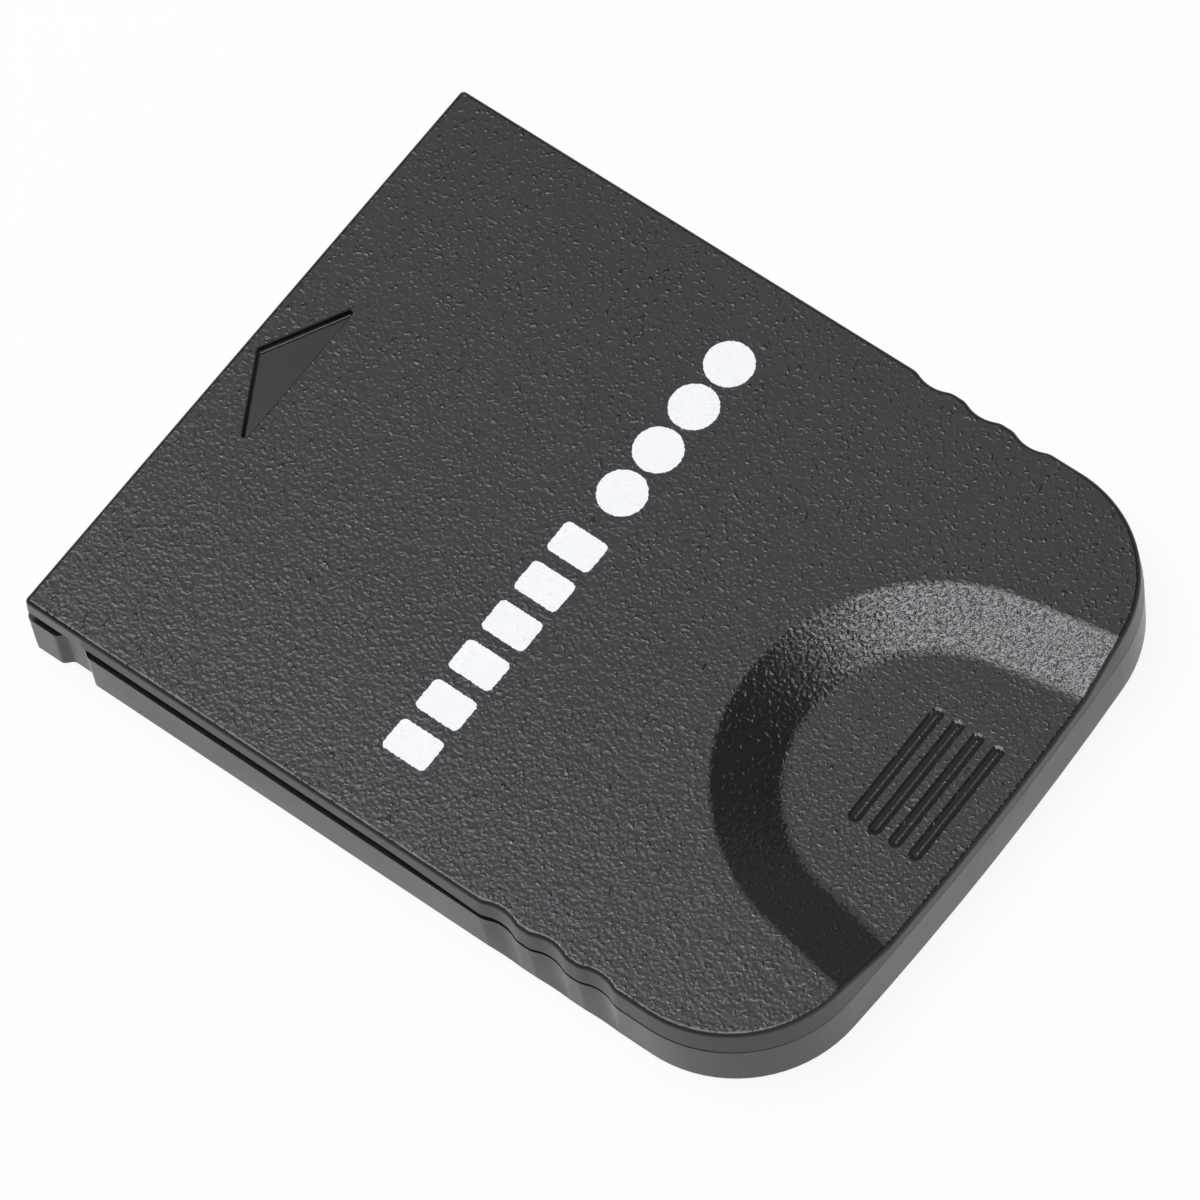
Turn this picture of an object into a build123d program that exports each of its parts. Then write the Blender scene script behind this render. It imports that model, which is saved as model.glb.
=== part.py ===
import os
from math import cos, radians, sin
from build123d import *

# Console memory card: a two-piece moulded case around a small circuit board.
# Millimetres. +Z is up, the card lies on its underside, +Y is the end that goes into the console.

# Case
card_width = 42.0
card_length = 54.3
card_height = 5.8
finger_end_bow = 1.0
finger_corner_radius = 8.4
plug_corner_radius = 0.45
top_edge_round = 0.3
bottom_edge_chamfer = 0.25

# Joint between the two halves: an open line along the sides that closes round the finger end
upper_half_height = 2.05
seam_gap_side = 0.9
seam_gap_grip = 0.3
seam_gap_finger_end = 0.04
seam_taper_from_finger_end = 27.0
seam_grip_from_finger_end = 18.0
skirt_thickness = 0.9
skirt_draft = 0.15
lip_clearance = 0.1
lip_thickness = 0.8
ceiling_thickness = 1.0
floor_thickness = 1.2

# Grip scallops in both long sides
scallop_count = 3
scallop_pitch = 3.5
scallop_width = 2.4
scallop_depth = 0.32
scallop_run_out = 0.04
scallop_shoulder_radius = 1.3
scallop_row_from_finger_end = 15.8

# Thumb recess that runs out through the finger end
recess_depth = 1.05
recess_outer_radius = 12.6
recess_floor_radius = 8.65
recess_flare = 10.0
recess_centre_from_finger_end = 4.2
recess_foot_blend = 2.4
recess_rim_blend = 1.2
groove_count = 4
groove_pitch = 1.42
groove_length = 8.5
groove_width = 0.66
groove_depth = 0.22
groove_wall_lean = 50.0
groove_rim_bevel = 0.1
groove_row_from_finger_end = 4.6

# Arrow sunk into the top face
arrow_tip_from_plug_end = 1.0
arrow_length = 3.2
arrow_half_width = 5.7
arrow_depth = 0.5
arrow_corner_radius = 0.2
arrow_floor_blend = 0.16
arrow_rim_bevel = 0.07

# Detent notches and lead-in at the plug end of the lower half
notch_from_plug_end = 2.25
notch_step = 0.5
notch_length = 1.3
notch_ramp = 0.65
notch_depth = 0.5
notch_round = 0.45
lead_in_height = 2.8
lead_in_depth = 0.4

# Circuit board and the opening that it shows in
board_thickness = 1.0
board_rest_height = 0.6
board_side_gap = 2.2
board_back_gap = 1.3
board_shoulder_clearance = 0.3
tongue_width = 30.4
tongue_setback = 0.9
slot_side_clearance = 0.3
contact_count = 12
contact_pitch = 2.3
contact_width = 1.6
contact_length = 5.0
contact_thickness = 0.05
contact_setback = 0.4

# Posts of the lower half that go through the board into bosses of the upper half
post_from_board_side = 2.0
post_from_board_back = 5.0
post_radius = 1.7
pin_radius = 0.8
pin_clearance = 0.1
pin_end_gap = 0.3
boss_wall = 0.9
boss_bore_depth = 1.6
rail_width = 1.2
rail_from_board_side = 0.6
rail_end_gap = 4.0

# Chips: bodies stand clear of the board on their leads
chip_standoff = 0.12
chip_from_board_back = 1.5
chip_gap = 1.6
chip_edge_bevel = 0.12
lead_thickness = 0.15
lead_reach = 0.8
memory_chip_length = 11.8
memory_chip_width = 8.0
memory_chip_height = 1.0
memory_lead_count = 14
memory_lead_pitch = 0.55
memory_lead_width = 0.22
controller_size = 7.0
controller_height = 1.2
controller_lead_count = 8
controller_lead_pitch = 0.8
controller_lead_width = 0.35

# Chip capacitors in front of the controller, chip resistors behind the contacts
capacitor_length = 1.6
capacitor_width = 0.8
capacitor_height = 0.8
capacitor_count = 4
capacitor_pitch = 3.0
capacitor_from_controller = 2.0
resistor_length = 1.0
resistor_width = 0.5
resistor_height = 0.35
resistor_count = 6
resistor_pitch = 1.8
resistor_from_contacts = 2.0
component_end_band = 0.25
component_end_step = 0.04

# Places worked out from the driving sizes
plug_end = card_length / 2
finger_end = -card_length / 2
side = card_width / 2
seam_height = card_height - upper_half_height
ceiling_height = card_height - ceiling_thickness
lip_inset = skirt_thickness + lip_clearance
cavity_inset = lip_inset + lip_thickness
recess_floor_height = card_height - recess_depth
recess_centre_y = finger_end + recess_centre_from_finger_end
recess_block_radius = recess_outer_radius + skirt_thickness
groove_row_y = finger_end + groove_row_from_finger_end
groove_row_reach = groove_count * groove_pitch / 2
arrow_tip = plug_end - arrow_tip_from_plug_end
arrow_base = arrow_tip - arrow_length
arrow_floor = card_height - arrow_depth
notch_start = plug_end - notch_from_plug_end
notch_end = notch_start - notch_step - notch_length - notch_ramp
board_underside = floor_thickness + board_rest_height
board_top = board_underside + board_thickness
board_width = card_width - 2 * (cavity_inset + board_side_gap)
board_front = plug_end - cavity_inset - board_shoulder_clearance
board_back = recess_centre_y + recess_block_radius + board_back_gap
tongue_front = plug_end - tongue_setback
contact_back = tongue_front - contact_setback - contact_length
slot_width = tongue_width + 2 * slot_side_clearance
post_x = board_width / 2 - post_from_board_side
post_y = board_back + post_from_board_back
post_places = [(-post_x, post_y), (post_x, post_y)]
boss_radius = pin_radius + pin_clearance + boss_wall
chip_row_width = memory_chip_width + chip_gap + controller_size + 2 * lead_reach
chip_row_back = board_back + chip_from_board_back + lead_reach
memory_place = ((memory_chip_width - chip_row_width) / 2, chip_row_back + memory_chip_length / 2)
controller_x = (chip_row_width - controller_size) / 2 - lead_reach
controller_y = chip_row_back + controller_size / 2
controller_front = controller_y + controller_size / 2 + lead_reach
reach_past = card_length
level = 0.01
steep = 0.1

os.makedirs("parts", exist_ok=True)


def write_piece(piece, name):
    piece.label = name
    export_step(piece, f"parts/{name}.step")


def plain_plan(inset):
    corner_y = finger_end + finger_end_bow
    with BuildSketch() as plan:
        with BuildLine():
            Polyline((-side, corner_y), (-side, plug_end), (side, plug_end), (side, corner_y))
            ThreePointArc((side, corner_y), (0, finger_end), (-side, corner_y))
        make_face()
        fillet(plan.vertices().group_by(Axis.Y)[0], finger_corner_radius)
        fillet(plan.vertices().group_by(Axis.Y)[-1], plug_corner_radius)
        if inset:
            offset(amount=-inset)
    return plan.sketch


def grip_plan(depth):
    row_y = finger_end + scallop_row_from_finger_end
    row_reach = (scallop_count - 1) * scallop_pitch / 2 + scallop_width
    radius = (scallop_width**2 / 4 + depth**2) / (2 * depth)
    centre_x = side + radius - depth
    with BuildSketch() as plan:
        add(plain_plan(0))
        with Locations((0, row_y)):
            with GridLocations(2 * centre_x, scallop_pitch, 2, scallop_count):
                Circle(radius, mode=Mode.SUBTRACT)
        shoulders = plan.vertices().filter_by(lambda corner: abs(corner.Y - row_y) < row_reach)
        fillet(shoulders, scallop_shoulder_radius)
    return plan.sketch


def notched_plan(depth):
    with BuildSketch() as plan:
        add(grip_plan(depth))
        for edge_x in (-side, side):
            floor_x = edge_x * (1 - notch_depth / side)
            with BuildLine():
                Polyline(
                    (edge_x, notch_start),
                    (floor_x, notch_start - notch_step),
                    (floor_x, notch_end + notch_ramp),
                    (edge_x, notch_end),
                    close=True,
                )
            make_face(mode=Mode.SUBTRACT)
        last = notch_start + level
        first = notch_end - level
        fillet(plan.vertices().filter_by(lambda corner: first < corner.Y < last), notch_round)
    return plan.sketch


def thumb_plan(radius):
    lean = radians(recess_flare)
    touch_x = radius * cos(lean)
    touch_y = recess_centre_y + radius * sin(lean)
    end_x = touch_x + reach_past * sin(lean)
    end_y = touch_y - reach_past * cos(lean)
    with BuildSketch() as plan:
        with Locations((0, recess_centre_y)):
            Circle(radius)
        with BuildLine():
            Polyline((touch_x, touch_y), (end_x, end_y), (-end_x, end_y), (-touch_x, touch_y), close=True)
        make_face()
    return plan.sketch


# Thumb dish with a blended foot
with BuildPart() as thumb_cutter:
    with BuildSketch(Plane.XY.offset(recess_floor_height)):
        add(thumb_plan(recess_floor_radius))
    with BuildSketch(Plane.XY.offset(card_height)):
        add(thumb_plan(recess_outer_radius))
    loft(ruled=True)
    foot = thumb_cutter.edges().group_by(Axis.Z)[0].sort_by(Axis.Y)[1:]
    fillet(foot, recess_foot_blend)

# Joint line, as deep as the lip behind it
with BuildPart() as seam_cutter:
    with BuildSketch(Plane.YZ):
        with BuildLine():
            Polyline(
                (finger_end, seam_height),
                (plug_end, seam_height),
                (plug_end, seam_height + seam_gap_side),
                (finger_end + seam_taper_from_finger_end, seam_height + seam_gap_side),
                (finger_end + seam_grip_from_finger_end, seam_height + seam_gap_grip),
                (finger_end, seam_height + seam_gap_finger_end),
                close=True,
            )
        make_face()
    extrude(amount=side, both=True)
    with BuildSketch(Plane.XY.offset(seam_height)):
        add(plain_plan(lip_inset))
    extrude(amount=card_height, mode=Mode.SUBTRACT)

# Upper half of the case
with BuildPart() as top_shell:
    # Outer wall, drawn in a little towards the top
    with BuildSketch(Plane.XY.offset(seam_height)):
        add(grip_plan(scallop_depth))
    with BuildSketch(Plane.XY.offset(card_height)):
        add(grip_plan(scallop_depth))
        offset(amount=-skirt_draft)
    loft(ruled=True)

    # Dished thumb recess with a blended rim
    add(thumb_cutter.part, mode=Mode.SUBTRACT)
    top_edges = top_shell.edges().filter_by_position(Axis.Z, card_height, card_height)
    near_edges = top_edges.filter_by(lambda edge: abs(edge.center().X) < recess_block_radius)
    rim = near_edges.filter_by(lambda edge: edge.center().Y < 0)
    fillet(rim, recess_rim_blend)

    # Rounded edge all round the top, down through the recess
    walls = top_shell.faces().filter_by(lambda face: abs(face.normal_at().Z) < steep)
    upper = walls.edges().filter_by(lambda edge: edge.center().Z > recess_floor_height - level)
    fillet(upper.filter_by(Axis.Z, reverse=True), top_edge_round)

    # Grooves in the recess floor, with bevelled rims
    with BuildSketch(Plane.XY.offset(recess_floor_height)):
        with Locations((0, groove_row_y)):
            with GridLocations(groove_length, groove_pitch, 1, groove_count):
                SlotOverall(groove_length, groove_width)
    extrude(amount=-groove_depth, taper=groove_wall_lean, mode=Mode.SUBTRACT)
    floor_edges = top_shell.edges().filter_by_position(Axis.Z, recess_floor_height, recess_floor_height)
    row_edges = floor_edges.filter_by(lambda edge: abs(edge.center().Y - groove_row_y) < groove_row_reach)
    groove_rims = row_edges.filter_by(lambda edge: abs(edge.center().X) < groove_length / 2 + level)
    chamfer(groove_rims, groove_rim_bevel)

    # Sunk arrow with a blended floor and a bevelled rim
    with BuildSketch(Plane.XY.offset(card_height)) as arrow:
        with BuildLine():
            Polyline(
                (-arrow_half_width, arrow_base),
                (0, arrow_tip),
                (arrow_half_width, arrow_base),
                close=True,
            )
        make_face()
        fillet(arrow.vertices(), arrow_corner_radius)
    extrude(amount=-arrow_depth, mode=Mode.SUBTRACT)
    fillet(top_shell.edges().filter_by_position(Axis.Z, arrow_floor, arrow_floor), arrow_floor_blend)
    face_edges = top_shell.edges().filter_by_position(Axis.Z, card_height, card_height)
    arrow_edges = face_edges.filter_by(lambda edge: arrow_base - level < edge.center().Y < arrow_tip)
    arrow_rim = arrow_edges.filter_by(lambda edge: abs(edge.center().X) < arrow_half_width)
    chamfer(arrow_rim, arrow_rim_bevel)

    # Hollow underside, left solid under the recess, where it sits on the lower half's wall
    with BuildSketch(Plane.XY.offset(seam_height)):
        add(plain_plan(skirt_thickness))
        add(thumb_plan(recess_block_radius), mode=Mode.SUBTRACT)
    extrude(amount=ceiling_height - seam_height, mode=Mode.SUBTRACT)
    add(seam_cutter.part, mode=Mode.SUBTRACT)

    # Bosses that take the posts' pins and press on the board
    with BuildSketch(Plane.XY.offset(board_top)):
        with Locations(*post_places):
            Circle(boss_radius)
    extrude(amount=ceiling_height - board_top)
    with BuildSketch(Plane.XY.offset(board_top)):
        with Locations(*post_places):
            Circle(pin_radius + pin_clearance)
    extrude(amount=boss_bore_depth, mode=Mode.SUBTRACT)
write_piece(top_shell.part, "top_shell")

# Lower half of the case
with BuildPart() as bottom_shell:
    # Outer wall with the detent notches: the scallops fade out towards the underside
    with BuildSketch(Plane.XY):
        add(notched_plan(scallop_run_out))
        offset(amount=-bottom_edge_chamfer)
    with BuildSketch(Plane.XY.offset(bottom_edge_chamfer)):
        add(notched_plan(scallop_run_out))
    with BuildSketch(Plane.XY.offset(seam_height)):
        add(notched_plan(scallop_depth))
    loft(ruled=True)

    # Lead-in at the plug end
    with BuildSketch(Plane.YZ):
        with BuildLine():
            Polyline(
                (plug_end, 0),
                (plug_end, lead_in_height),
                (plug_end - lead_in_depth, 0),
                close=True,
            )
        make_face()
    extrude(amount=side, both=True, mode=Mode.SUBTRACT)

    # Lip behind the joint, cut away under the thumb recess
    with BuildSketch(Plane.XY.offset(seam_height)):
        add(plain_plan(lip_inset))
        add(thumb_plan(recess_block_radius + lip_clearance), mode=Mode.SUBTRACT)
    extrude(amount=ceiling_height - seam_height)

    # Hollow inside and the connector opening
    with BuildSketch(Plane.XY.offset(floor_thickness)):
        add(plain_plan(cavity_inset))
    extrude(amount=card_height, mode=Mode.SUBTRACT)
    with BuildSketch(Plane.XY.offset(floor_thickness)):
        with Locations((0, plug_end)):
            Rectangle(slot_width, 2 * cavity_inset)
    extrude(amount=card_height, mode=Mode.SUBTRACT)

    # Posts with pins, and rails under the board's long edges
    with BuildSketch(Plane.XY.offset(floor_thickness)):
        with Locations(*post_places):
            Circle(post_radius)
        rail_spacing = board_width - 2 * rail_from_board_side - rail_width
        rail_length = board_front - post_y - 2 * rail_end_gap
        with Locations((0, (board_front + post_y) / 2)):
            with GridLocations(rail_spacing, rail_length, 2, 1):
                Rectangle(rail_width, rail_length)
    extrude(amount=board_rest_height)
    with BuildSketch(Plane.XY.offset(board_underside)):
        with Locations(*post_places):
            Circle(pin_radius)
    extrude(amount=board_thickness + boss_bore_depth - pin_end_gap)
write_piece(bottom_shell.part, "bottom_shell")

# Circuit board with its contact tongue
with BuildPart() as circuit_board:
    with BuildSketch(Plane.XY.offset(board_underside)):
        with Locations((0, board_back)):
            Rectangle(board_width, board_front - board_back, align=(Align.CENTER, Align.MIN))
            Rectangle(tongue_width, tongue_front - board_back, align=(Align.CENTER, Align.MIN))
        with Locations(*post_places):
            Circle(pin_radius + pin_clearance, mode=Mode.SUBTRACT)
    extrude(amount=board_thickness)
write_piece(circuit_board.part, "circuit_board")

# Row of plated contacts on the tongue
with BuildPart() as edge_contacts:
    with BuildSketch(Plane.XY.offset(board_top)):
        with Locations((0, contact_back + contact_length / 2)):
            with GridLocations(contact_pitch, contact_length, contact_count, 1):
                Rectangle(contact_width, contact_length)
    extrude(amount=contact_thickness)
write_piece(edge_contacts.part, "edge_contacts")


def chip_body(length, width, height, place):
    with BuildPart() as body:
        with BuildSketch(Plane.XY.offset(board_top + chip_standoff)):
            with Locations(place):
                Rectangle(length, width)
        extrude(amount=height)
        chamfer(body.edges().group_by(Axis.Z)[-1], chip_edge_bevel)
    return body.part


def chip_leads(half_length, height, width, place, turns, count, pitch):
    shoulder = chip_standoff + height / 2
    knee = lead_reach / 2
    with BuildPart() as lead:
        with BuildSketch(Plane.XZ):
            with Locations((half_length, shoulder)):
                Rectangle(knee, lead_thickness, align=(Align.MIN, Align.MAX))
            with Locations((half_length + knee, 0)):
                Rectangle(lead_thickness, shoulder, align=(Align.MAX, Align.MIN))
                Rectangle(knee, lead_thickness, align=(Align.MIN, Align.MIN))
        extrude(amount=width / 2, both=True)
    with BuildPart() as leads:
        for turn in turns:
            with Locations(Location((*place, board_top), (0, 0, turn))):
                with GridLocations(pitch, pitch, 1, count):
                    add(lead.part)
    return leads.part


# Flash memory in a thin package with leads at its two ends
memory_chip_body = chip_body(memory_chip_width, memory_chip_length, memory_chip_height, memory_place)
write_piece(memory_chip_body, "memory_chip_body")
memory_chip_leads = chip_leads(
    memory_chip_length / 2,
    memory_chip_height,
    memory_lead_width,
    memory_place,
    (90, 270),
    memory_lead_count,
    memory_lead_pitch,
)
write_piece(memory_chip_leads, "memory_chip_leads")

# Interface controller in a flat package with leads on all four sides
controller_place = (controller_x, controller_y)
controller_chip_body = chip_body(controller_size, controller_size, controller_height, controller_place)
write_piece(controller_chip_body, "controller_chip_body")
controller_chip_leads = chip_leads(
    controller_size / 2,
    controller_height,
    controller_lead_width,
    controller_place,
    (0, 90, 180, 270),
    controller_lead_count,
    controller_lead_pitch,
)
write_piece(controller_chip_leads, "controller_chip_leads")


def chip_component(length, width, height, place):
    with BuildPart() as component:
        with BuildSketch(Plane.XY.offset(board_top)):
            with Locations(place):
                Rectangle(width, length)
        extrude(amount=height)
        waist = length - 2 * component_end_band
        with BuildSketch(Plane.XY.offset(board_top + height)):
            with Locations(place):
                Rectangle(width, waist)
        extrude(amount=-component_end_step, mode=Mode.SUBTRACT)
    return component.part


def row_place(number, count, pitch, y):
    return (controller_x + (number - (count - 1) / 2) * pitch, y)


# Chip capacitors and resistors, each a ceramic block with raised metal ends
for number in range(capacitor_count):
    capacitor_y = controller_front + capacitor_from_controller
    place = row_place(number, capacitor_count, capacitor_pitch, capacitor_y)
    capacitor = chip_component(capacitor_length, capacitor_width, capacitor_height, place)
    write_piece(capacitor, f"capacitor_{number + 1}")

for number in range(resistor_count):
    resistor_y = contact_back - resistor_from_contacts
    place = row_place(number, resistor_count, resistor_pitch, resistor_y)
    resistor = chip_component(resistor_length, resistor_width, resistor_height, place)
    write_piece(resistor, f"resistor_{number + 1}")
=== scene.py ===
import math
import bpy
from mathutils import Matrix, Vector


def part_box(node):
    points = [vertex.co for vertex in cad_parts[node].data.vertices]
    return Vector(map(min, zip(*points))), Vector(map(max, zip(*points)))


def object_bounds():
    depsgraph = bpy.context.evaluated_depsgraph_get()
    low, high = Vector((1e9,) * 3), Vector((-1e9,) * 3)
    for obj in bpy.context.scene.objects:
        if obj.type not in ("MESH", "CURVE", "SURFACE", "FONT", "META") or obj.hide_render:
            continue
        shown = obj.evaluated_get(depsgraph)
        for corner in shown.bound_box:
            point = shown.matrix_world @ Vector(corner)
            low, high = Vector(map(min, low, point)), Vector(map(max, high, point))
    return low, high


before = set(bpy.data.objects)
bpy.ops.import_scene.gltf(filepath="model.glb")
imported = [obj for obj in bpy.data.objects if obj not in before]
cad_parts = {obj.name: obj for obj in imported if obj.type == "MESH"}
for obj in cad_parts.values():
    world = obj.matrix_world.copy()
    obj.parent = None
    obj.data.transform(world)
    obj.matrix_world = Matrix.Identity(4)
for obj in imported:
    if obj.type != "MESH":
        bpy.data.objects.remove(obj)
cadLow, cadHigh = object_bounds()
print("frame loaded:", len(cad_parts), "nodes")

mm = 0.001
cardTop = cadHigh.z
plugEnd = cadHigh.y
noiseMiddle = 0.5
halfPitch = 0.5


# Small helpers for node trees
def makeNode(tree, kind, label, settings=None, values=None):
    node = tree.nodes.new(kind)
    node.label = label
    for key, value in (settings or {}).items():
        setattr(node, key, value)
    for key, value in (values or {}).items():
        node.inputs[key].default_value = value
    return node


def feed(tree, socket, value):
    if isinstance(value, bpy.types.NodeSocket):
        tree.links.new(value, socket)
    else:
        socket.default_value = value


def calc(tree, operation, *operands):
    node = makeNode(tree, "ShaderNodeMath", operation.lower(), {"operation": operation})
    for socket, operand in zip(node.inputs, operands):
        feed(tree, socket, operand)
    return node.outputs[0]


def ramp(tree, value, low, high, outLow=0.0, outHigh=1.0):
    node = makeNode(tree, "ShaderNodeMapRange", "ramp", {"interpolation_type": "SMOOTHSTEP"})
    feed(tree, node.inputs["Value"], value)
    node.inputs["From Min"].default_value = low
    node.inputs["From Max"].default_value = high
    node.inputs["To Min"].default_value = outLow
    node.inputs["To Max"].default_value = outHigh
    return node.outputs["Result"]


def mixPair(tree, label, settings, mask, first, second):
    node = makeNode(tree, "ShaderNodeMix", label, settings)
    feed(tree, node.inputs["Factor"], mask)
    feed(tree, node.inputs["A"], first)
    feed(tree, node.inputs["B"], second)
    return node.outputs["Result"]


def blendColour(tree, mask, first, second):
    return mixPair(tree, "colour blend", {"data_type": "RGBA"}, mask, first, second)


def blendValue(tree, mask, first, second):
    return mixPair(tree, "value blend", {"data_type": "FLOAT"}, mask, first, second)


def shadeColour(tree, colour, shade):
    settings = {"data_type": "RGBA", "blend_type": "MULTIPLY"}
    return mixPair(tree, "shading", settings, 1.0, colour, shade)


def splitAxes(tree, socket):
    node = makeNode(tree, "ShaderNodeSeparateXYZ", "axes")
    feed(tree, node.inputs["Vector"], socket)
    return node.outputs


def startMaterial(name):
    material = bpy.data.materials.new(name)
    material.use_nodes = True
    tree = material.node_tree
    tree.nodes.clear()
    output = makeNode(tree, "ShaderNodeOutputMaterial", "output")
    shader = makeNode(tree, "ShaderNodeBsdfPrincipled", "surface")
    tree.links.new(shader.outputs["BSDF"], output.inputs["Surface"])
    place = makeNode(tree, "ShaderNodeTexCoord", "place")
    return material, tree, shader, place


def startGroup(name, inputs, outputs):
    tree = bpy.data.node_groups.new(name, "ShaderNodeTree")
    for label, kind, value in inputs:
        socket = tree.interface.new_socket(name=label, in_out="INPUT", socket_type=kind)
        if value is not None:
            socket.default_value = value
    for label, kind in outputs:
        tree.interface.new_socket(name=label, in_out="OUTPUT", socket_type=kind)
    entry = makeNode(tree, "NodeGroupInput", "in")
    leave = makeNode(tree, "NodeGroupOutput", "out")
    return tree, entry, leave


def useGroup(tree, group, label, values):
    node = makeNode(tree, "ShaderNodeGroup", label, {"node_tree": group})
    for key, value in values.items():
        feed(tree, node.inputs[key], value)
    return node


# Mould grain: rounded pebbles on a soft roll, with a sharper pimple here and there
mouldGrain = {
    "cells": 4000.0,
    "roll": 0.5,
    "rollDetail": 1.0,
    "rollShare": 0.37,
    "pimple": 3.0,
    "pimpleShift": (0.3, 0.7, 0.1),
    "sparse": 0.65,
}


def makeGrainGroup():
    inputs = [
        ("Vector", "NodeSocketVector", None),
        ("Cells", "NodeSocketFloat", mouldGrain["cells"]),
        ("Roll", "NodeSocketFloat", mouldGrain["roll"]),
        ("Pimple", "NodeSocketFloat", mouldGrain["pimple"]),
        ("Sparse", "NodeSocketFloat", mouldGrain["sparse"]),
    ]
    tree, entry, leave = startGroup("mouldGrain", inputs, [("Height", "NodeSocketFloat")])
    fine = makeNode(tree, "ShaderNodeTexNoise", "pebbles", values={"Detail": 0.0})
    feed(tree, fine.inputs["Vector"], entry.outputs["Vector"])
    feed(tree, fine.inputs["Scale"], entry.outputs["Cells"])
    soft = makeNode(tree, "ShaderNodeTexNoise", "roll", values={"Detail": mouldGrain["rollDetail"]})
    feed(tree, soft.inputs["Vector"], entry.outputs["Vector"])
    feed(tree, soft.inputs["Scale"], calc(tree, "MULTIPLY", entry.outputs["Cells"], mouldGrain["rollShare"]))
    rolled = calc(tree, "MULTIPLY", soft.outputs["Fac"], entry.outputs["Roll"])
    shift = {"Location": mouldGrain["pimpleShift"]}
    shifted = makeNode(tree, "ShaderNodeMapping", "other place", values=shift)
    feed(tree, shifted.inputs["Vector"], entry.outputs["Vector"])
    sharp = makeNode(tree, "ShaderNodeTexNoise", "pimples", values={"Detail": 0.0})
    feed(tree, sharp.inputs["Vector"], shifted.outputs["Vector"])
    feed(tree, sharp.inputs["Scale"], entry.outputs["Cells"])
    proud = calc(tree, "MAXIMUM", calc(tree, "SUBTRACT", sharp.outputs["Fac"], entry.outputs["Sparse"]), 0.0)
    pimpled = calc(tree, "MULTIPLY", proud, entry.outputs["Pimple"])
    pebbled = calc(tree, "ADD", fine.outputs["Fac"], rolled)
    feed(tree, leave.inputs["Height"], calc(tree, "ADD", pebbled, pimpled))
    return tree


# Faint clouds and streaks of a handled surface
handling = {
    "scale": 90.0,
    "cloud": {"Detail": 4.0, "Roughness": 0.6},
    "cloudSpan": (0.3, 0.7),
    "streak": {"Detail": 3.0},
    "streakStretch": (1.0, 0.08, 1.0),
    "streakShare": 12.0,
}


def makeHandlingGroup():
    inputs = [("Vector", "NodeSocketVector", None), ("Scale", "NodeSocketFloat", handling["scale"])]
    outputs = [("Cloud", "NodeSocketFloat"), ("Streak", "NodeSocketFloat")]
    tree, entry, leave = startGroup("handling", inputs, outputs)
    cloud = makeNode(tree, "ShaderNodeTexNoise", "cloud", values=handling["cloud"])
    feed(tree, cloud.inputs["Vector"], entry.outputs["Vector"])
    feed(tree, cloud.inputs["Scale"], entry.outputs["Scale"])
    stretch = makeNode(tree, "ShaderNodeMapping", "stretch", values={"Scale": handling["streakStretch"]})
    feed(tree, stretch.inputs["Vector"], entry.outputs["Vector"])
    streak = makeNode(tree, "ShaderNodeTexNoise", "streak", values=handling["streak"])
    feed(tree, streak.inputs["Vector"], stretch.outputs["Vector"])
    streakScale = calc(tree, "MULTIPLY", entry.outputs["Scale"], handling["streakShare"])
    feed(tree, streak.inputs["Scale"], streakScale)
    feed(tree, leave.inputs["Cloud"], cloud.outputs["Fac"])
    feed(tree, leave.inputs["Streak"], streak.outputs["Fac"])
    return tree


# Row of equal rounded blocks, as a distance from their edges
def makeBlockRowGroup():
    labels = ("X", "Y", "Start", "Pitch", "Count", "Middle", "Half Width", "Half Height", "Corner")
    inputs = [(label, "NodeSocketFloat", None) for label in labels]
    tree, entry, leave = startGroup("blockRow", inputs, [("Distance", "NodeSocketFloat")])
    given = entry.outputs
    along = calc(tree, "DIVIDE", calc(tree, "SUBTRACT", given["X"], given["Start"]), given["Pitch"])
    last = calc(tree, "SUBTRACT", given["Count"], 1.0)
    number = calc(tree, "MINIMUM", calc(tree, "MAXIMUM", calc(tree, "ROUND", along), 0.0), last)
    offX = calc(tree, "MULTIPLY", calc(tree, "SUBTRACT", along, number), given["Pitch"])
    offY = calc(tree, "SUBTRACT", given["Y"], given["Middle"])
    insideX = calc(tree, "SUBTRACT", given["Half Width"], given["Corner"])
    insideY = calc(tree, "SUBTRACT", given["Half Height"], given["Corner"])
    pastX = calc(tree, "MAXIMUM", calc(tree, "SUBTRACT", calc(tree, "ABSOLUTE", offX), insideX), 0.0)
    pastY = calc(tree, "MAXIMUM", calc(tree, "SUBTRACT", calc(tree, "ABSOLUTE", offY), insideY), 0.0)
    squares = calc(tree, "ADD", calc(tree, "POWER", pastX, 2.0), calc(tree, "POWER", pastY, 2.0))
    feed(tree, leave.inputs["Distance"], calc(tree, "SUBTRACT", calc(tree, "SQRT", squares), given["Corner"]))
    return tree


grainGroup = makeGrainGroup()
handlingGroup = makeHandlingGroup()
blockRowGroup = makeBlockRowGroup()
print("node groups ready")

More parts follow.
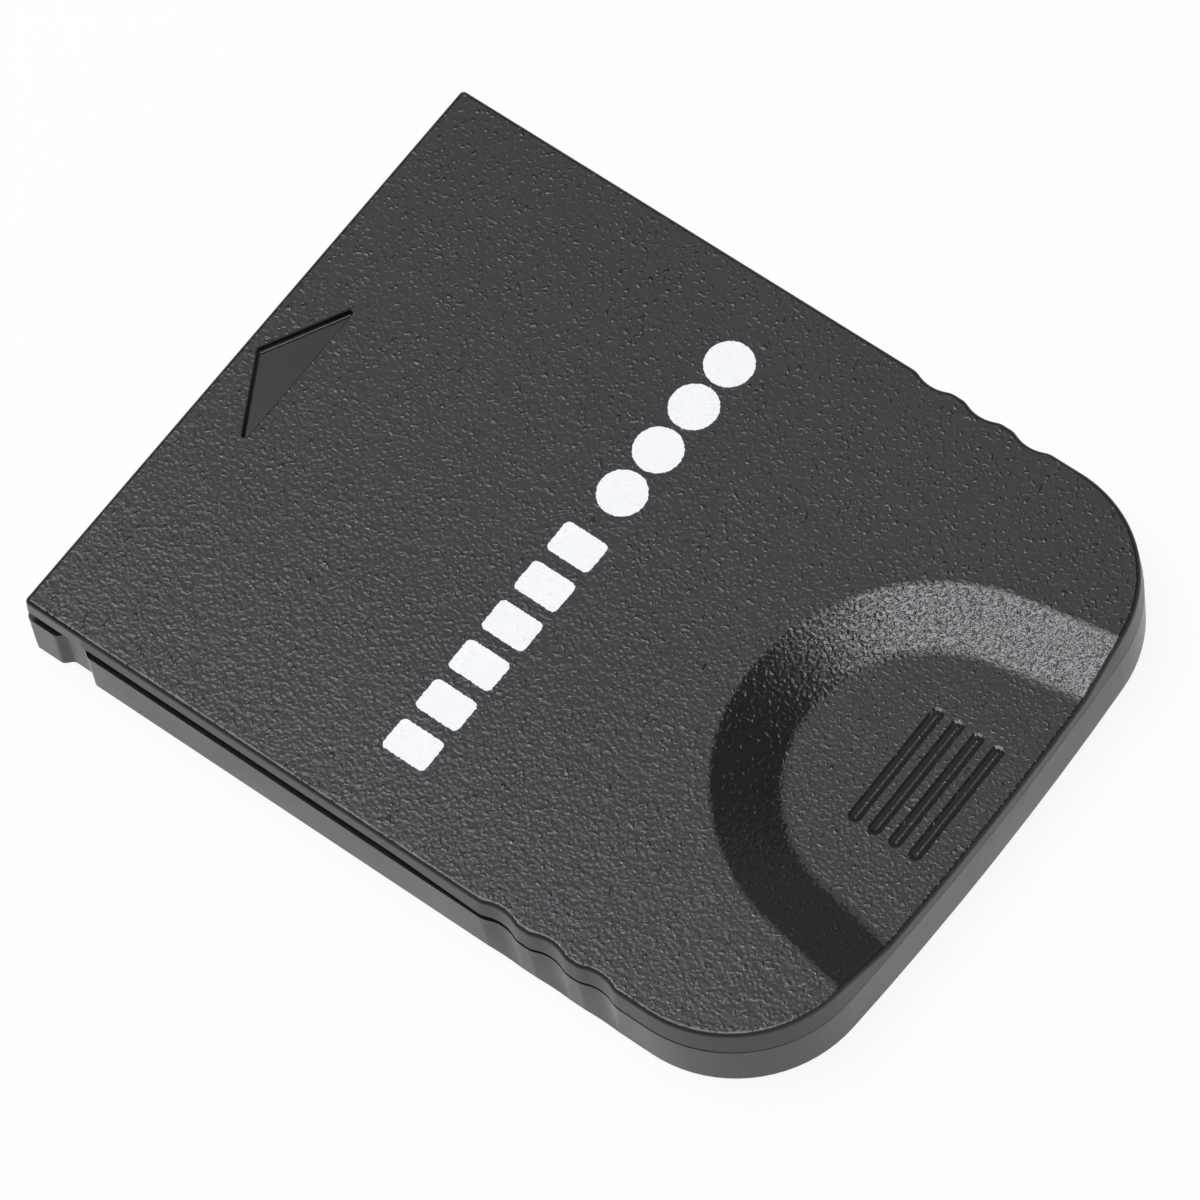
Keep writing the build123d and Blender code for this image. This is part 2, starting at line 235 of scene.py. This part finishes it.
# Upper half of the case: grained black moulding with a white print
upperCase = {
    "colour": (0.0145, 0.0145, 0.0147, 1.0),
    "cloudShade": (0.9, 1.1),
    "smoothRoughness": 0.38,
    "grainRoughness": 0.1,
    "polishRoughness": 0.08,
    "specular": 0.45,
    "grainCells": 4200.0,
    "grainRoll": 0.6,
    "grainPimple": 3.9,
    "grainSparse": 0.62,
    "grainDepth": 0.0205 * mm,
    "grainTilt": (0.925, 0.945),
    "arrowZone": plugEnd - 4.4 * mm,
    "arrowEdge": 0.02 * mm,
}
printRow = {
    "ink": (0.92, 0.92, 0.925, 1.0),
    "roughness": 0.5,
    "middle": 2.62 * mm,
    "halfHeight": 1.54 * mm,
    "barStart": -15.2 * mm,
    "barPitch": 3.1 * mm,
    "barCount": 6.0,
    "barHalfWidth": 1.1 * mm,
    "barCorner": 0.35 * mm,
    "discStart": 4.6 * mm,
    "discPitch": 3.45 * mm,
    "discCount": 4.0,
    "inkEdge": 0.02 * mm,
    "edgeFray": 0.16 * mm,
    "frayScale": 5200.0,
}


def printMask(tree, place):
    spot = splitAxes(tree, place.outputs["Object"])
    shared = {"X": spot["X"], "Y": spot["Y"], "Middle": printRow["middle"]}
    bars = useGroup(tree, blockRowGroup, "bars", {
        **shared,
        "Start": printRow["barStart"],
        "Pitch": printRow["barPitch"],
        "Count": printRow["barCount"],
        "Half Width": printRow["barHalfWidth"],
        "Half Height": printRow["halfHeight"],
        "Corner": printRow["barCorner"],
    })
    discs = useGroup(tree, blockRowGroup, "discs", {
        **shared,
        "Start": printRow["discStart"],
        "Pitch": printRow["discPitch"],
        "Count": printRow["discCount"],
        "Half Width": printRow["halfHeight"],
        "Half Height": printRow["halfHeight"],
        "Corner": printRow["halfHeight"],
    })
    distance = calc(tree, "MINIMUM", bars.outputs["Distance"], discs.outputs["Distance"])
    fray = makeNode(tree, "ShaderNodeTexNoise", "fray", values={"Scale": printRow["frayScale"]})
    feed(tree, fray.inputs["Vector"], place.outputs["Object"])
    swing = calc(tree, "SUBTRACT", fray.outputs["Fac"], noiseMiddle)
    ragged = calc(tree, "MULTIPLY", swing, printRow["edgeFray"])
    outline = calc(tree, "ADD", distance, ragged)
    edge = ramp(tree, outline, -printRow["inkEdge"], printRow["inkEdge"], 1.0, 0.0)
    onTop = calc(tree, "GREATER_THAN", spot["Z"], cardTop - upperCase["arrowEdge"])
    return calc(tree, "MULTIPLY", edge, onTop)


def grainMask(tree, place):
    spot = splitAxes(tree, place.outputs["Object"])
    facing = splitAxes(tree, place.outputs["Normal"])
    level = ramp(tree, facing["Z"], *upperCase["grainTilt"])
    nearPlug = calc(tree, "GREATER_THAN", spot["Y"], upperCase["arrowZone"])
    sunk = calc(tree, "LESS_THAN", spot["Z"], cardTop - upperCase["arrowEdge"])
    polished = calc(tree, "MULTIPLY", nearPlug, sunk)
    grained = calc(tree, "MULTIPLY", level, calc(tree, "SUBTRACT", 1.0, polished))
    return grained, polished


def makeUpperCase():
    material, tree, shader, place = startMaterial("grainedBlack")
    grained, polished = grainMask(tree, place)
    inked = printMask(tree, place)
    grain = useGroup(tree, grainGroup, "grain", {
        "Vector": place.outputs["Object"],
        "Cells": upperCase["grainCells"],
        "Roll": upperCase["grainRoll"],
        "Pimple": upperCase["grainPimple"],
        "Sparse": upperCase["grainSparse"],
    })
    bump = makeNode(tree, "ShaderNodeBump", "grain bump", values={"Distance": upperCase["grainDepth"]})
    feed(tree, bump.inputs["Height"], grain.outputs["Height"])
    feed(tree, bump.inputs["Strength"], grained)
    handled = useGroup(tree, handlingGroup, "handling", {"Vector": place.outputs["Object"]})
    shade = ramp(tree, handled.outputs["Cloud"], *handling["cloudSpan"], *upperCase["cloudShade"])
    dark = shadeColour(tree, upperCase["colour"], shade)
    feed(tree, shader.inputs["Base Color"], blendColour(tree, inked, dark, printRow["ink"]))
    plain = blendValue(tree, polished, upperCase["smoothRoughness"], upperCase["polishRoughness"])
    rough = blendValue(tree, grained, plain, upperCase["grainRoughness"])
    feed(tree, shader.inputs["Roughness"], blendValue(tree, inked, rough, printRow["roughness"]))
    shader.inputs["Specular IOR Level"].default_value = upperCase["specular"]
    feed(tree, shader.inputs["Normal"], bump.outputs["Normal"])
    return material


# Lower half of the case: smooth black moulding
lowerCase = {
    "colour": (0.0145, 0.0145, 0.0147, 1.0),
    "roughness": (0.24, 0.34),
    "specular": 0.37,
    "sparkCells": 5200.0,
    "sparkRoll": 0.3,
    "bumpDepth": 0.002 * mm,
}


def makeLowerCase():
    material, tree, shader, place = startMaterial("smoothBlack")
    handled = useGroup(tree, handlingGroup, "handling", {"Vector": place.outputs["Object"]})
    grain = useGroup(tree, grainGroup, "spark finish", {
        "Vector": place.outputs["Object"],
        "Cells": lowerCase["sparkCells"],
        "Roll": lowerCase["sparkRoll"],
        "Pimple": 0.0,
    })
    bump = makeNode(tree, "ShaderNodeBump", "spark bump", values={"Distance": lowerCase["bumpDepth"]})
    feed(tree, bump.inputs["Height"], grain.outputs["Height"])
    shader.inputs["Base Color"].default_value = lowerCase["colour"]
    shader.inputs["Specular IOR Level"].default_value = lowerCase["specular"]
    rough = ramp(tree, handled.outputs["Cloud"], *handling["cloudSpan"], *lowerCase["roughness"])
    feed(tree, shader.inputs["Roughness"], rough)
    feed(tree, shader.inputs["Normal"], bump.outputs["Normal"])
    return material


# Circuit board: green resist over copper tracks, bare glass fibre at the cut edges
contactLow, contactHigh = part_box("edge_contacts")
circuitBoard = {
    "resist": (0.008, 0.075, 0.03, 1.0),
    "overCopper": (0.022, 0.15, 0.055, 1.0),
    "cutEdge": (0.20, 0.18, 0.075, 1.0),
    "flatFace": (0.6, 0.8),
    "roughness": (0.2, 0.36),
    "trackPitch": 1.15 * mm,
    "trackWidth": (0.1, 0.16),
    "jogLength": 9.0 * mm,
    "jogStart": 3.2 * mm,
    "jogReach": 2.3 * mm,
    "copperDepth": 0.03 * mm,
    "viaCount": 12.0,
    "viaBehind": 0.9 * mm,
    "viaRadius": 0.28 * mm,
    "viaEdge": 0.05 * mm,
}


def trackMask(tree, spot):
    swing = calc(tree, "PINGPONG", spot["Y"], circuitBoard["jogLength"])
    diagonal = calc(tree, "MAXIMUM", calc(tree, "SUBTRACT", swing, circuitBoard["jogStart"]), 0.0)
    jog = calc(tree, "MINIMUM", diagonal, circuitBoard["jogReach"])
    lane = calc(tree, "DIVIDE", calc(tree, "ADD", spot["X"], jog), circuitBoard["trackPitch"])
    return ramp(tree, calc(tree, "PINGPONG", lane, halfPitch), *circuitBoard["trackWidth"], 1.0, 0.0)


def viaMask(tree, spot):
    pitch = (contactHigh.x - contactLow.x) / circuitBoard["viaCount"]
    row = useGroup(tree, blockRowGroup, "via row", {
        "X": spot["X"],
        "Y": spot["Y"],
        "Start": contactLow.x + pitch / 2,
        "Pitch": pitch,
        "Count": circuitBoard["viaCount"],
        "Middle": contactLow.y - circuitBoard["viaBehind"],
        "Half Width": circuitBoard["viaRadius"],
        "Half Height": circuitBoard["viaRadius"],
        "Corner": circuitBoard["viaRadius"],
    })
    return ramp(tree, row.outputs["Distance"], 0.0, circuitBoard["viaEdge"], 1.0, 0.0)


def makeCircuitBoard():
    material, tree, shader, place = startMaterial("greenResist")
    spot = splitAxes(tree, place.outputs["Object"])
    facing = splitAxes(tree, place.outputs["Normal"])
    flat = ramp(tree, calc(tree, "ABSOLUTE", facing["Z"]), *circuitBoard["flatFace"])
    copper = calc(tree, "MAXIMUM", trackMask(tree, spot), viaMask(tree, spot))
    green = blendColour(tree, copper, circuitBoard["resist"], circuitBoard["overCopper"])
    feed(tree, shader.inputs["Base Color"], blendColour(tree, flat, circuitBoard["cutEdge"], green))
    handled = useGroup(tree, handlingGroup, "handling", {"Vector": place.outputs["Object"]})
    rough = ramp(tree, handled.outputs["Cloud"], *handling["cloudSpan"], *circuitBoard["roughness"])
    feed(tree, shader.inputs["Roughness"], rough)
    bump = makeNode(tree, "ShaderNodeBump", "copper step", values={"Distance": circuitBoard["copperDepth"]})
    feed(tree, bump.inputs["Height"], copper)
    feed(tree, bump.inputs["Strength"], flat)
    feed(tree, shader.inputs["Normal"], bump.outputs["Normal"])
    return material


# Gold and tin plating: uneven gloss, with scratches along the way the card goes in
plating = {
    "gold": {"name": "goldPlate", "dull": (0.70, 0.47, 0.16, 1.0), "bright": (0.88, 0.64, 0.27, 1.0)},
    "tin": {"name": "tinPlate", "dull": (0.55, 0.55, 0.54, 1.0), "bright": (0.78, 0.78, 0.76, 1.0)},
    "roughness": (0.16, 0.36),
    "cloudScale": 700.0,
    "scratchDepth": 0.002 * mm,
}


def makePlating(metal):
    material, tree, shader, place = startMaterial(metal["name"])
    handled = useGroup(tree, handlingGroup, "wear", {
        "Vector": place.outputs["Object"],
        "Scale": plating["cloudScale"],
    })
    cloud = ramp(tree, handled.outputs["Cloud"], *handling["cloudSpan"])
    feed(tree, shader.inputs["Base Color"], blendColour(tree, cloud, metal["dull"], metal["bright"]))
    rough = ramp(tree, handled.outputs["Streak"], *handling["cloudSpan"], *plating["roughness"])
    feed(tree, shader.inputs["Roughness"], rough)
    shader.inputs["Metallic"].default_value = 1.0
    bump = makeNode(tree, "ShaderNodeBump", "scratches", values={"Distance": plating["scratchDepth"]})
    feed(tree, bump.inputs["Height"], handled.outputs["Streak"])
    feed(tree, shader.inputs["Normal"], bump.outputs["Normal"])
    return material


# Chip bodies: black moulded resin, speckled by its filler
chipResin = {
    "dark": (0.016, 0.016, 0.018, 1.0),
    "filler": (0.040, 0.040, 0.042, 1.0),
    "roughness": (0.42, 0.6),
    "speckle": 7000.0,
    "fillerSpan": (0.65, 0.95),
    "grainDepth": 0.006 * mm,
}


def makeChipResin():
    material, tree, shader, place = startMaterial("chipResin")
    grain = useGroup(tree, grainGroup, "filler", {
        "Vector": place.outputs["Object"],
        "Cells": chipResin["speckle"],
        "Pimple": 0.0,
    })
    speck = ramp(tree, grain.outputs["Height"], *chipResin["fillerSpan"])
    feed(tree, shader.inputs["Base Color"], blendColour(tree, speck, chipResin["dark"], chipResin["filler"]))
    feed(tree, shader.inputs["Roughness"], blendValue(tree, speck, *chipResin["roughness"]))
    bump = makeNode(tree, "ShaderNodeBump", "resin grain", values={"Distance": chipResin["grainDepth"]})
    feed(tree, bump.inputs["Height"], grain.outputs["Height"])
    feed(tree, shader.inputs["Normal"], bump.outputs["Normal"])
    return material


# Chip capacitors and resistors: ceramic blocks with tinned ends
ceramics = {
    "capacitor": {"count": 4, "top": (0.33, 0.22, 0.12, 1.0), "side": (0.33, 0.22, 0.12, 1.0)},
    "resistor": {"count": 6, "top": (0.012, 0.012, 0.014, 1.0), "side": (0.62, 0.61, 0.58, 1.0)},
    "endBand": 0.25 * mm,
    "bandEdge": 0.02 * mm,
    "bodyRoughness": 0.32,
    "bandRoughness": 0.26,
    "tin": (0.72, 0.72, 0.70, 1.0),
    "glazedTilt": 0.5,
    "speckle": 3000.0,
    "speckSpan": (0.3, 0.7),
    "speckShade": (0.82, 1.12),
}


def makeCeramic(kind):
    finish = ceramics[kind]
    material, tree, shader, place = startMaterial(kind + "Ceramic")
    low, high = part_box(kind + "_1")
    waist = (high.y - low.y) / 2 - ceramics["endBand"]
    spot = splitAxes(tree, place.outputs["Object"])
    facing = splitAxes(tree, place.outputs["Normal"])
    fromMiddle = calc(tree, "ABSOLUTE", calc(tree, "SUBTRACT", spot["Y"], (high.y + low.y) / 2))
    band = ramp(tree, fromMiddle, waist - ceramics["bandEdge"], waist + ceramics["bandEdge"])
    glazed = calc(tree, "GREATER_THAN", facing["Z"], ceramics["glazedTilt"])
    specks = makeNode(tree, "ShaderNodeTexNoise", "fired specks", values={"Scale": ceramics["speckle"]})
    feed(tree, specks.inputs["Vector"], place.outputs["Object"])
    shade = ramp(tree, specks.outputs["Fac"], *ceramics["speckSpan"], *ceramics["speckShade"])
    fired = shadeColour(tree, blendColour(tree, glazed, finish["side"], finish["top"]), shade)
    feed(tree, shader.inputs["Base Color"], blendColour(tree, band, fired, ceramics["tin"]))
    feed(tree, shader.inputs["Metallic"], band)
    rough = blendValue(tree, band, ceramics["bodyRoughness"], ceramics["bandRoughness"])
    feed(tree, shader.inputs["Roughness"], rough)
    return material


def dressNode(name, material):
    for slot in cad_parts[name].material_slots:
        slot.material = material


dressNode("top_shell", makeUpperCase())
dressNode("bottom_shell", makeLowerCase())
print("case dressed")

dressNode("circuit_board", makeCircuitBoard())
dressNode("edge_contacts", makePlating(plating["gold"]))
tinned = makePlating(plating["tin"])
resin = makeChipResin()
for chip in ("memory_chip", "controller_chip"):
    dressNode(chip + "_body", resin)
    dressNode(chip + "_leads", tinned)
for kind in ("capacitor", "resistor"):
    ceramic = makeCeramic(kind)
    for number in range(ceramics[kind]["count"]):
        dressNode(f"{kind}_{number + 1}", ceramic)
print("board and components dressed")

# Floor, light and camera
studio = {
    "floorSize": 12.0,
    "floorDrop": 0.02 * mm,
    "floorColour": 0.93,
    "nearFill": 0.9,
    "nearRadius": (0.07, 0.16),
    "lampHeight": 0.6,
    "worldLevel": 0.12,
    "horizonLevel": 0.55,
    "horizonRise": (0.15, 0.55),
    "frontLevel": 0.55,
    "frontReach": (-0.8, -0.45),
}
softbox = {
    "low": (-0.25, -0.17),
    "high": (0.226, 0.42),
    "lift": 0.0,
    "radiance": 5.8,
    "colour": (0.975, 0.99, 1.03),
    "fadeStart": -0.06,
    "louvreAngle": 47.0,
    "louvrePitch": 0.1,
    "louvreSpan": (0.2, 0.3),
    "louvreLevels": (0.15, 1.85),
}
sidePanel = {
    "low": (0.075, 0.07),
    "high": (0.45, 0.55),
    "lift": 0.01,
    "radiance": 1.03,
    "colour": (0.95, 0.99, 1.06),
}
farPanel = {
    "low": (0.48, 0.0),
    "high": (0.95, 0.5),
    "lift": 0.0,
    "radiance": 0.2,
    "colour": (1.0, 1.0, 1.0),
}
photoCamera = {
    "azimuth": -43.23,
    "elevation": 62.384,
    "roll": -10.613,
    "distance": 469.147 * mm,
    "target": Vector((-1.681 * mm, -0.539 * mm, cardTop)),
    "focalPixels": 8152.95,
    "framePixels": 1200,
    "sensor": 36.0,
}


def makeFloor():
    bpy.ops.mesh.primitive_plane_add(size=studio["floorSize"], location=(0, 0, -studio["floorDrop"]))
    floor = bpy.context.object
    floor.name = "studioFloor"
    material = bpy.data.materials.new("paleFloor")
    material.use_nodes = True
    tree = material.node_tree
    tree.nodes.clear()
    output = makeNode(tree, "ShaderNodeOutputMaterial", "output")
    paint = makeNode(tree, "ShaderNodeBsdfDiffuse", "paint")
    glow = makeNode(tree, "ShaderNodeEmission", "white background")
    both = makeNode(tree, "ShaderNodeAddShader", "paint and background")
    path = makeNode(tree, "ShaderNodeLightPath", "rays")
    mirrored = calc(tree, "MAXIMUM", path.outputs["Is Glossy Ray"], path.outputs["Is Transmission Ray"])
    seen = calc(tree, "MAXIMUM", path.outputs["Is Camera Ray"], mirrored)
    place = makeNode(tree, "ShaderNodeTexCoord", "place")
    reach = makeNode(tree, "ShaderNodeVectorMath", "reach", {"operation": "LENGTH"})
    feed(tree, reach.inputs[0], place.outputs["Object"])
    far = ramp(tree, reach.outputs["Value"], *studio["nearRadius"])
    fill = calc(tree, "MULTIPLY", blendValue(tree, far, studio["nearFill"], 1.0), seen)
    paintLeft = calc(tree, "SUBTRACT", 1.0, fill)
    feed(tree, paint.inputs["Color"], calc(tree, "MULTIPLY", paintLeft, studio["floorColour"]))
    feed(tree, glow.inputs["Strength"], fill)
    feed(tree, both.inputs[0], paint.outputs["BSDF"])
    feed(tree, both.inputs[1], glow.outputs["Emission"])
    feed(tree, output.inputs["Surface"], both.outputs["Shader"])
    floor.data.materials.append(material)


def makeLamp(name, panel):
    lamp = bpy.data.lights.new(name, "AREA")
    lamp.shape = "RECTANGLE"
    lamp.size = panel["high"][0] - panel["low"][0]
    lamp.size_y = panel["high"][1] - panel["low"][1]
    lamp.energy = panel["radiance"] * math.pi * lamp.size * lamp.size_y
    lamp.color = panel["colour"]
    lampObject = bpy.data.objects.new(name, lamp)
    middleX = (panel["high"][0] + panel["low"][0]) / 2
    middleY = (panel["high"][1] + panel["low"][1]) / 2
    lampObject.location = (middleX, middleY, studio["lampHeight"] + panel["lift"])
    bpy.context.scene.collection.objects.link(lampObject)
    return lamp


# The softbox fades out to one side, and its louvres make the grain sparkle
def makeSoftbox():
    lamp = makeLamp("softbox", softbox)
    lamp.use_nodes = True
    tree = lamp.node_tree
    tree.nodes.clear()
    output = makeNode(tree, "ShaderNodeOutputLight", "output")
    glow = makeNode(tree, "ShaderNodeEmission", "glow")
    shape = makeNode(tree, "ShaderNodeNewGeometry", "lamp face")
    spot = splitAxes(tree, shape.outputs["Parametric"])
    across = calc(tree, "MULTIPLY_ADD", spot["X"], lamp.size, softbox["low"][0])
    along = calc(tree, "MULTIPLY_ADD", spot["Y"], lamp.size_y, softbox["low"][1])
    turn = math.radians(softbox["louvreAngle"])
    shareX = calc(tree, "MULTIPLY", across, math.cos(turn) / softbox["louvrePitch"])
    shareY = calc(tree, "MULTIPLY", along, math.sin(turn) / softbox["louvrePitch"])
    step = calc(tree, "PINGPONG", calc(tree, "ADD", shareX, shareY), halfPitch)
    louvre = ramp(tree, step, *softbox["louvreSpan"], *softbox["louvreLevels"])
    fade = ramp(tree, across, softbox["fadeStart"], softbox["high"][0], 1.0, 0.0)
    feed(tree, glow.inputs["Strength"], calc(tree, "MULTIPLY", louvre, fade))
    feed(tree, output.inputs["Surface"], glow.outputs["Emission"])


# Walls that brighten towards the horizon, with a gleam from the front that only reflections see
def makeWorld():
    world = bpy.data.worlds.new("studio")
    world.use_nodes = True
    tree = world.node_tree
    tree.nodes.clear()
    output = makeNode(tree, "ShaderNodeOutputWorld", "output")
    sky = makeNode(tree, "ShaderNodeBackground", "walls")
    path = makeNode(tree, "ShaderNodeLightPath", "rays")
    place = makeNode(tree, "ShaderNodeTexCoord", "direction")
    toward = splitAxes(tree, place.outputs["Generated"])
    walls = ramp(tree, toward["Z"], *studio["horizonRise"], studio["horizonLevel"], studio["worldLevel"])
    front = ramp(tree, toward["Y"], *studio["frontReach"], studio["frontLevel"], 0.0)
    gleam = calc(tree, "MULTIPLY", front, path.outputs["Is Glossy Ray"])
    lit = calc(tree, "ADD", walls, gleam)
    feed(tree, sky.inputs["Strength"], blendValue(tree, path.outputs["Is Camera Ray"], lit, 1.0))
    feed(tree, output.inputs["Surface"], sky.outputs["Background"])
    bpy.context.scene.world = world


def makeCamera():
    lens = bpy.data.cameras.new("photoCamera")
    lens.sensor_width = photoCamera["sensor"]
    lens.lens = photoCamera["focalPixels"] / photoCamera["framePixels"] * photoCamera["sensor"]
    turn = math.radians(photoCamera["azimuth"])
    rise = math.radians(photoCamera["elevation"])
    roll = math.radians(photoCamera["roll"])
    back = Vector((math.sin(turn) * math.cos(rise), -math.cos(turn) * math.cos(rise), math.sin(rise)))
    right = Vector((math.cos(turn), math.sin(turn), 0.0))
    up = back.cross(right)
    rolledRight = math.cos(roll) * right + math.sin(roll) * up
    rolledUp = math.cos(roll) * up - math.sin(roll) * right
    axes = Matrix((rolledRight, rolledUp, back)).transposed()
    camera = bpy.data.objects.new("photoCamera", lens)
    place = photoCamera["target"] + photoCamera["distance"] * back
    camera.matrix_world = Matrix.Translation(place) @ axes.to_4x4()
    bpy.context.scene.collection.objects.link(camera)
    bpy.context.scene.camera = camera


makeFloor()
makeSoftbox()
makeLamp("sidePanel", sidePanel)
makeLamp("farPanel", farPanel)
makeWorld()
makeCamera()
bpy.context.scene.view_settings.view_transform = "Standard"
print("studio ready")
